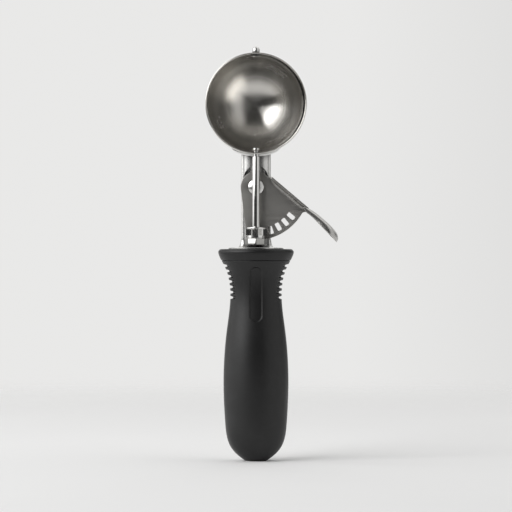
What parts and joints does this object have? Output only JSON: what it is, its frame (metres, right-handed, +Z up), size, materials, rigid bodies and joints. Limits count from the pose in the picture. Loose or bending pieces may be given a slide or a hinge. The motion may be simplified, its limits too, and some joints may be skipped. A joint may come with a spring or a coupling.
{
  "type": "lever ice cream scoop",
  "caption": "Thumb-lever ice cream scoop: hemispherical steel bowl with a sweeping wiper blade, geared slotted lever on a hollow neck, soft oval grip.",
  "frame": {"origin": "centre of the flat foot at the lower end of the grip, on the grip's axis", "axes": "+Z up along the grip and neck to the bowl, the bowl opens towards -Y, the thumb lever stands out on +X"},
  "size_m": [0.0738, 0.0387, 0.2282],
  "materials": {
    "satin_steel": "satin",
    "lever_steel": "satin",
    "polished_steel": "polished",
    "spring_steel": "drawn wire",
    "grip_rubber": "matte",
    "core_plastic": "moulded"
  },
  "bodies": {
    "handle": {"grip_sleeve": "grip_rubber", "grip_collar": "grip_rubber", "handle_core": "core_plastic", "tang": "lever_steel", "tang_pins": "lever_steel", "neck_foot": "polished_steel", "neck_front": "polished_steel", "neck_back": "polished_steel", "bowl_saddle": "polished_steel", "bowl": "satin_steel", "upper_pivot_pin": "polished_steel", "lower_bush": "polished_steel", "pivot_rivet": "polished_steel", "pivot_washer": "polished_steel", "return_spring": "spring_steel", "thrust_washer": "polished_steel"},
    "lever": {"trigger_lever": "lever_steel"},
    "wiper": {"spindle": "polished_steel", "pinion": "polished_steel", "pinion_collar": "polished_steel", "wiper_blade": "satin_steel"}
  },
  "joints": [
    {"name": "lever_pivot", "type": "hinge", "parent": "handle", "child": "lever", "pos_m": [0, 0, 0.1511], "axis": [0, 1, 0], "range_deg": [0, 28.5], "stiffness_Nm_per_rad": 0.08, "springref_deg": -34.38},
    {"name": "wiper_spin", "type": "hinge", "parent": "handle", "child": "wiper", "pos_m": [0, -0.006, 0.1969], "axis": [0, 0, 1], "range_deg": [0, 141]}
  ],
  "couplings": [
    {"joint": "wiper_spin", "follows": "lever_pivot", "ratio": 4.9451}
  ]
}
